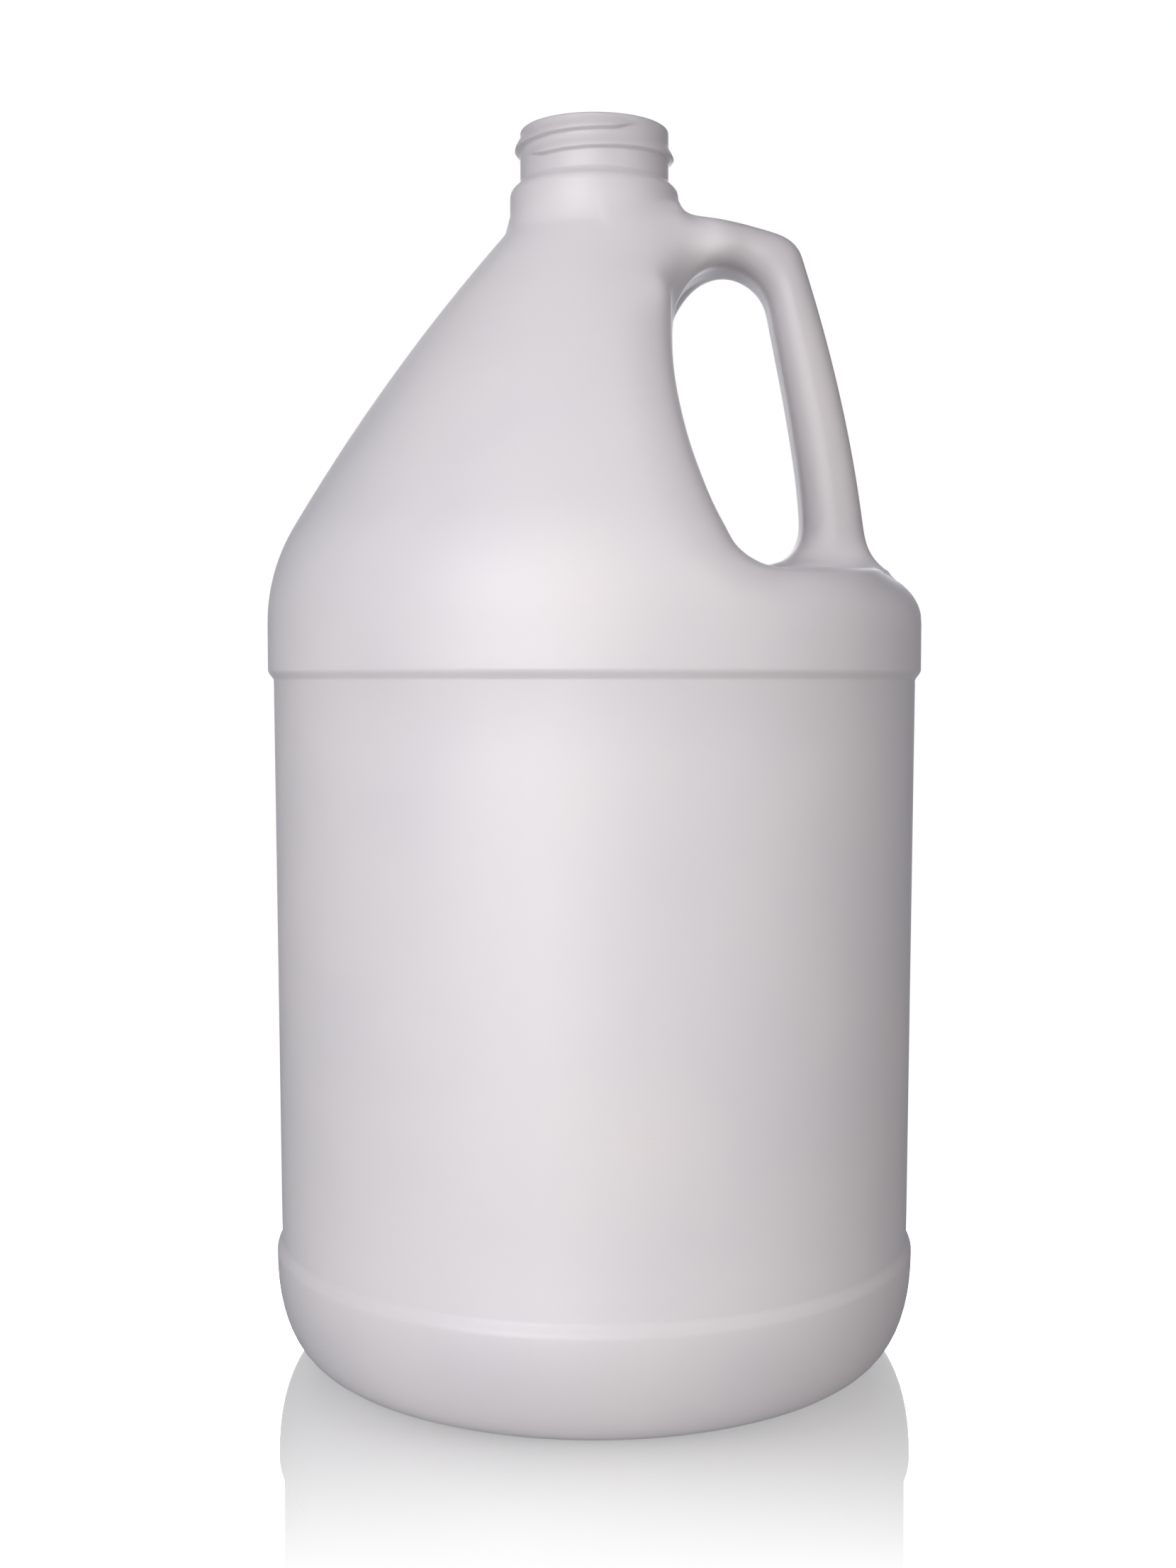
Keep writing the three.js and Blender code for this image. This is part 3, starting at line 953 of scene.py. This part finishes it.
    def onto_surface(self, points: Points, solid: BVHTree, rounds: int) -> Points:
        """Moves points onto the blended surface of body and handle.

        Args:
            points: Points near the surface.
            solid: The handle's search tree.
            rounds: How many times each point is moved.

        Returns:
            The moved points.
        """
        for _ in range(rounds):
            value, way, _ = self.joint_field(points, solid)
            size = np.maximum(np.einsum("ij,ij->i", way, way), self.least_slope)
            points = points - way * np.clip(value / size, -self.longest_move, self.longest_move)[:, None]
        return points

    def thicken_wall(self) -> None:
        """Gives the skin its wall, thicker in the neck than in the body."""
        group = self.obj.vertex_groups.new(name="wall_share")
        heights = points_of(self.obj)[:, 2]
        share = ease((heights - self.neck_wall_from) / self.neck_wall_blend)
        weights = (self.wall + (self.neck_wall - self.wall) * share) / self.neck_wall
        for i, weight in enumerate(weights):
            group.add([i], float(weight), "REPLACE")
        select_only(self.obj)
        wall = self.obj.modifiers.new("wall", "SOLIDIFY")
        wall.thickness = self.neck_wall * MM
        wall.offset = -1
        wall.use_even_offset = False
        wall.vertex_group = group.name
        bpy.ops.object.modifier_apply(modifier=wall.name)

    def round_rim(self) -> None:
        """Raises and narrows the flat end of the neck in small insets, for a round lip."""
        edit(self.obj, "DESELECT")
        bpy.ops.mesh.select_mode(type="FACE")
        shell = bmesh.from_edit_mesh(self.obj.data)
        end = self.shoulder.neck_top - self.end_slack
        for face in shell.faces:
            middle = face.calc_center_median() / MM
            face.select_set(middle.z > end and abs(face.normal.z) > 0.9)
        bmesh.update_edit_mesh(self.obj.data)
        rise = self.rim_height - self.shoulder.neck_top
        for inset, lift in self.lip_insets:
            bpy.ops.mesh.inset(thickness=inset * MM, depth=lift * rise * MM)
        bpy.ops.mesh.select_mode(type="VERT")
        bpy.ops.object.mode_set(mode="OBJECT")

    def thread_height(self, angle: Points, z: Points) -> Points:
        """How far the thread stands out from the neck.

        Args:
            angle: Directions round the neck, in degrees from -180 to 180.
            z: Heights.

        Returns:
            The bead's rise at each place, in millimetres.
        """
        rise = np.zeros_like(z)
        for turns in (-1, 0, 1):
            along = angle + 360 * turns
            ends = np.minimum(along - self.thread_start, self.thread_end - along)
            grown = self.thread_end_share + (1 - self.thread_end_share) * ease(ends / self.thread_fade)
            strength = np.where(ends > 0, grown, 0)
            middle = self.thread_start_height + self.thread_pitch * (along - self.thread_start) / 360
            half = np.maximum(self.thread_half_height * strength, TOUCH)
            up = (z - middle) / half + self.thread_crest
            flank = np.where(up > 0, up / (1 + self.thread_crest), -up / (1 - self.thread_crest))
            bead = 0.5 + 0.5 * np.cos(np.pi * np.clip(flank, 0, 1))
            rise = np.maximum(rise, self.thread_reach * strength * bead)
        return rise

    def raise_thread(self) -> None:
        """Raises the screw thread out of the neck's outer face."""
        points = points_of(self.obj)
        x, y, z = points.T
        radius = np.hypot(x, y)
        form = self.shoulder
        on_neck = (z > form.neck_root) & (z < form.neck_top - self.end_slack)
        outer = on_neck & (np.abs(radius - form.neck_radius) < self.neck_slack)
        angle = np.degrees(np.arctan2(y[outer], x[outer]))
        lifted = radius[outer] + self.thread_height(angle, z[outer])
        points[outer, :2] *= (lifted / radius[outer])[:, None]
        place_points(self.obj, points)

    def dress(self, material: Material) -> None:
        """Gives the jug its finish and ties it to the frame.

        Args:
            material: The finish.
        """
        self.obj.data.materials.clear()
        self.obj.data.materials.append(material)
        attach(self.obj, "root")
        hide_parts("jug")


@dataclass(frozen=True)
class NaturalPolyethylene:
    """Natural high-density polyethylene, blow moulded in a lightly blasted mould.

    Undyed, so it is milky and lets some light through. The eye sees a soft satin skin, broad faint clouds
    where the wall is a little thicker or thinner, and slow waves where it shrank off the mould.
    """

    colour: str = "#f4efee"
    cloud_colour: str = "#e8e8ee"
    passing_colour: str = "#efedee"
    passing_share: float = 0.36
    handle_share: float = 0.6
    heel_stretch: float = 0.38
    hole_line: Triple = (0.98, 0.0, 0.19)
    hole_reach: Pair = (76.3, 84.3)
    grip_heights: Pair = (187.0, 199.0)
    neck_heights: Pair = (262.0, 292.0)
    heel_heights: Pair = (36.0, 12.0)
    smoothest: float = 0.42
    roughest: float = 0.52
    ior: float = 1.54
    cloud_size: float = 42.0
    cloud_detail: float = 3.0
    cloud_range: Pair = (0.3, 0.7)
    wave_size: float = 16.0
    wave_detail: float = 1.0
    wave_depth: float = 0.12
    skin_size: float = 1.1
    skin_detail: float = 2.0
    skin_depth: float = 0.006

    def make(self) -> Material:
        """Builds the material.

        Returns:
            The material, on Object coordinates in metres.
        """
        material = bpy.data.materials.new("natural_hdpe_blow_moulded")
        tree = empty_tree(material)
        place = add_node(tree, "ShaderNodeTexCoord").outputs["Object"]
        clouds = add_node(tree, "ShaderNodeTexNoise", {
            "Vector": place, "Scale": 1 / (self.cloud_size * MM),
            "Detail": self.cloud_detail}).outputs["Fac"]
        tint = add_node(tree, "ShaderNodeMix", {
            "Factor": clouds, "A": hex_to_linear(self.cloud_colour), "B": hex_to_linear(self.colour)},
            data_type="RGBA")
        satin = add_node(tree, "ShaderNodeMapRange", {
            "Value": clouds, "From Min": self.cloud_range[0], "From Max": self.cloud_range[1],
            "To Min": self.smoothest, "To Max": self.roughest})
        normal = self.skin(tree, place)
        plastic = add_node(tree, "ShaderNodeBsdfPrincipled", {
            "Base Color": tint.outputs["Result"], "Roughness": 1.0, "Specular IOR Level": 0.0,
            "Normal": normal})
        passing = add_node(tree, "ShaderNodeBsdfTranslucent", {
            "Color": hex_to_linear(self.passing_colour), "Normal": normal})
        milk = add_node(tree, "ShaderNodeMixShader", {
            0: self.passed(tree, place), 1: plastic.outputs[0], 2: passing.outputs[0]})
        sheen = add_node(tree, "ShaderNodeBsdfGlossy", {
            "Color": WHITE, "Roughness": satin.outputs["Result"], "Normal": normal})
        gloss = add_node(tree, "ShaderNodeFresnel", {"IOR": self.ior, "Normal": normal})
        both = add_node(tree, "ShaderNodeMixShader", {
            0: gloss.outputs[0], 1: milk.outputs[0], 2: sheen.outputs[0]})
        add_node(tree, "ShaderNodeOutputMaterial", {"Surface": both.outputs[0]})
        return material

    def passed(self, tree: Tree, place: Socket) -> Socket:
        """How much of the light goes through: more at the mouth, and where handle and heel are stretched.

        Args:
            tree: The material's node tree.
            place: Coordinates in metres.

        Returns:
            The share that the Translucent shader gets.
        """
        line = {0: place, 1: self.hole_line}
        along = add_node(tree, "ShaderNodeVectorMath", line, operation="DOT_PRODUCT").outputs["Value"]
        height = add_node(tree, "ShaderNodeSeparateXYZ", {0: place}).outputs["Z"]
        steps = []
        for value, reach, top in (
                (along, self.hole_reach, 1.0), (height, self.grip_heights, 1.0),
                (height, self.neck_heights, 1.0), (height, self.heel_heights, self.heel_stretch)):
            step = add_node(tree, "ShaderNodeMapRange", {
                "Value": value, "From Min": reach[0] * MM, "From Max": reach[1] * MM, "To Max": top},
                interpolation_type="SMOOTHSTEP")
            steps.append(step.outputs["Result"])
        beyond, above, neck, heel = steps
        thin = add_node(tree, "ShaderNodeMath", {0: beyond, 1: above}, operation="MULTIPLY")
        for part in (neck, heel):
            thin = add_node(tree, "ShaderNodeMath", {0: thin.outputs[0], 1: part}, operation="MAXIMUM")
        share = add_node(tree, "ShaderNodeMapRange", {
            "Value": thin.outputs[0], "To Min": self.passing_share, "To Max": self.handle_share})
        return share.outputs["Result"]

    def skin(self, tree: Tree, place: Socket) -> Socket:
        """The moulded skin: slow shrinkage waves under the blasted mould's grain.

        Args:
            tree: The material's node tree.
            place: Coordinates in metres.

        Returns:
            The bumped normal.
        """
        under: dict[str, Socket] = {}
        # The real grain is about a tenth of a millimetre, too fine to show, so it is drawn coarser.
        for size, detail, depth in (
                (self.wave_size, self.wave_detail, self.wave_depth),
                (self.skin_size, self.skin_detail, self.skin_depth)):
            pattern = add_node(tree, "ShaderNodeTexNoise", {
                "Vector": place, "Scale": 1 / (size * MM), "Detail": detail})
            bump = add_node(tree, "ShaderNodeBump", {
                "Height": pattern.outputs["Fac"], "Strength": 1.0, "Distance": depth * MM, **under})
            under = {"Normal": bump.outputs["Normal"]}
        return under["Normal"]


@dataclass(frozen=True)
class Lamp:
    """A soft lamp: where it hangs, its sides in metres, its power in watts and its colour."""

    name: str
    place: Triple
    width: float
    height: float
    power: float
    colour: str = "#ffffff"


@dataclass
class Studio:
    """A pale floor, a white surround, soft lamps and the photograph's camera."""

    camera_place: Triple = (-0.00152, -0.46446, 0.16149)
    camera_tilt: float = math.radians(90 - 3.06)
    sensor: float = 36.0
    # The fitted focal length and the photograph's height, both in pixels.
    lens_by_height: float = 2692 / 2212
    floor_size: float = 30.0
    surround: float = 0.19
    surround_colour: str = "#ecedfb"
    floor_bounce: float = 0.42
    aim: Triple = (0.0, 0.0, 0.14)
    mirror_share: float = 0.66
    mirror_from: float = 64.0
    mirror_to: float = 127.0
    lamps: tuple[Lamp, ...] = (
        Lamp("key", (-0.447, -1.376, 0.251), 0.7, 1.4, 9.4, "#fffcfa"),
        Lamp("key_left", (-0.809, -1.199, 0.251), 0.7, 1.4, 10.8, "#fbfbff"),
        Lamp("key_front", (-0.101, -1.443, 0.251), 0.7, 1.4, 6.2, "#fff6f0"),
        Lamp("right", (1.05, -0.98, 0.3), 0.8, 1.4, 5.3, "#fff5f0"),
        Lamp("overhead", (-0.433, -0.929, 1.175), 0.9, 0.9, 4.6, "#fafaff"),
        Lamp("back", (0.0, 1.43, 0.4), 1.2, 1.2, 8.0, "#fbfbff"),
    )

    def build(self) -> None:
        """Sets up the camera, the floor, the surround and the lamps."""
        self.add_camera()
        self.add_floor()
        self.add_surround()
        for lamp in self.lamps:
            self.add_lamp(lamp)

    def add_camera(self) -> None:
        """Puts the camera where the photograph was taken from."""
        data = bpy.data.cameras.new("camera")
        data.sensor_width = self.sensor
        data.lens = self.lens_by_height * self.sensor
        data.clip_start = 0.01
        camera = bpy.data.objects.new("camera", data)
        camera.location = self.camera_place
        camera.rotation_euler = (self.camera_tilt, 0, 0)
        bpy.context.scene.collection.objects.link(camera)
        bpy.context.scene.camera = camera

    def seen(self, tree: Tree) -> Socket:
        """Tells what the camera sees from the light that falls on the jug.

        Args:
            tree: A material's or the world's node tree.

        Returns:
            1 for what is seen, straight or mirrored in the floor, and 0 for light on its way to the jug.
        """
        ray = add_node(tree, "ShaderNodeLightPath").outputs
        either = add_node(tree, "ShaderNodeMath", {
            0: ray["Is Camera Ray"], 1: ray["Is Singular Ray"]}, operation="MAXIMUM")
        return either.outputs[0]

    def add_floor(self) -> None:
        """Lays the white floor, polished round the jug so that it mirrors the base.

        The mirror fades with the fourth root of x^4 + y^4, which is even along the front of the jug.
        """
        deselect_all()
        bpy.ops.mesh.primitive_plane_add(size=self.floor_size, location=(0, 0, 0))
        floor = bpy.context.object
        floor.name = "floor"
        material = bpy.data.materials.new("white_acrylic_sheet_lit_from_below")
        tree = empty_tree(material)
        place = add_node(tree, "ShaderNodeTexCoord").outputs["Object"]
        squares = add_node(tree, "ShaderNodeVectorMath", {0: place, 1: place}, operation="MULTIPLY")
        length = add_node(tree, "ShaderNodeVectorMath", {0: squares.outputs["Vector"]},
                          operation="LENGTH")
        away = add_node(tree, "ShaderNodeMath", {0: length.outputs["Value"]}, operation="SQRT")
        shine = add_node(tree, "ShaderNodeMapRange", {
            "Value": away.outputs[0], "From Min": self.mirror_from * MM, "From Max": self.mirror_to * MM,
            "To Min": self.mirror_share, "To Max": 0.0})
        glow = add_node(tree, "ShaderNodeMapRange", {
            "Value": self.seen(tree), "To Min": self.floor_bounce, "To Max": 1.0})
        white = add_node(tree, "ShaderNodeEmission", {
            "Color": WHITE, "Strength": glow.outputs["Result"]})
        mirror = add_node(tree, "ShaderNodeBsdfGlossy", {"Color": WHITE, "Roughness": 0.0})
        both = add_node(tree, "ShaderNodeMixShader", {
            0: shine.outputs["Result"], 1: white.outputs[0], 2: mirror.outputs[0]})
        add_node(tree, "ShaderNodeOutputMaterial", {"Surface": both.outputs[0]})
        floor.data.materials.append(material)
        floor.visible_glossy = False

    def add_surround(self) -> None:
        """Gives the view a white surround, and the jug a dim even light from all round."""
        world = bpy.data.worlds.new("white_surround")
        bpy.context.scene.world = world
        tree = empty_tree(world)
        dim = add_node(tree, "ShaderNodeBackground", {
            "Color": hex_to_linear(self.surround_colour), "Strength": self.surround})
        white = add_node(tree, "ShaderNodeBackground", {"Color": WHITE, "Strength": 1.0})
        both = add_node(tree, "ShaderNodeMixShader", {
            0: self.seen(tree), 1: dim.outputs[0], 2: white.outputs[0]})
        add_node(tree, "ShaderNodeOutputWorld", {"Surface": both.outputs[0]})
        bpy.context.scene.view_settings.view_transform = "Standard"

    def add_lamp(self, lamp: Lamp) -> None:
        """Hangs a soft lamp that faces the middle of the jug.

        Args:
            lamp: The lamp.
        """
        data = bpy.data.lights.new(lamp.name, "AREA")
        data.shape = "RECTANGLE"
        data.size = lamp.width
        data.size_y = lamp.height
        data.energy = lamp.power
        data.color = hex_to_linear(lamp.colour)[:3]
        hung = bpy.data.objects.new(lamp.name, data)
        hung.location = lamp.place
        away = Vector(lamp.place) - Vector(self.aim)
        hung.rotation_euler = away.to_track_quat("Z", "Y").to_euler()
        bpy.context.scene.collection.objects.link(hung)


def main() -> None:
    """Builds the jug and the studio, and reports each piece."""
    logging.basicConfig(level=logging.INFO, format="%(name)s: %(message)s")
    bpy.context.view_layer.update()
    Studio().build()
    LOG.info("studio set up")
    jug = Jug()
    piece = jug.build()
    jug.dress(NaturalPolyethylene().make())
    LOG.info("%s: %d faces", piece.name, len(piece.data.polygons))


if __name__ == "__main__":
    main()
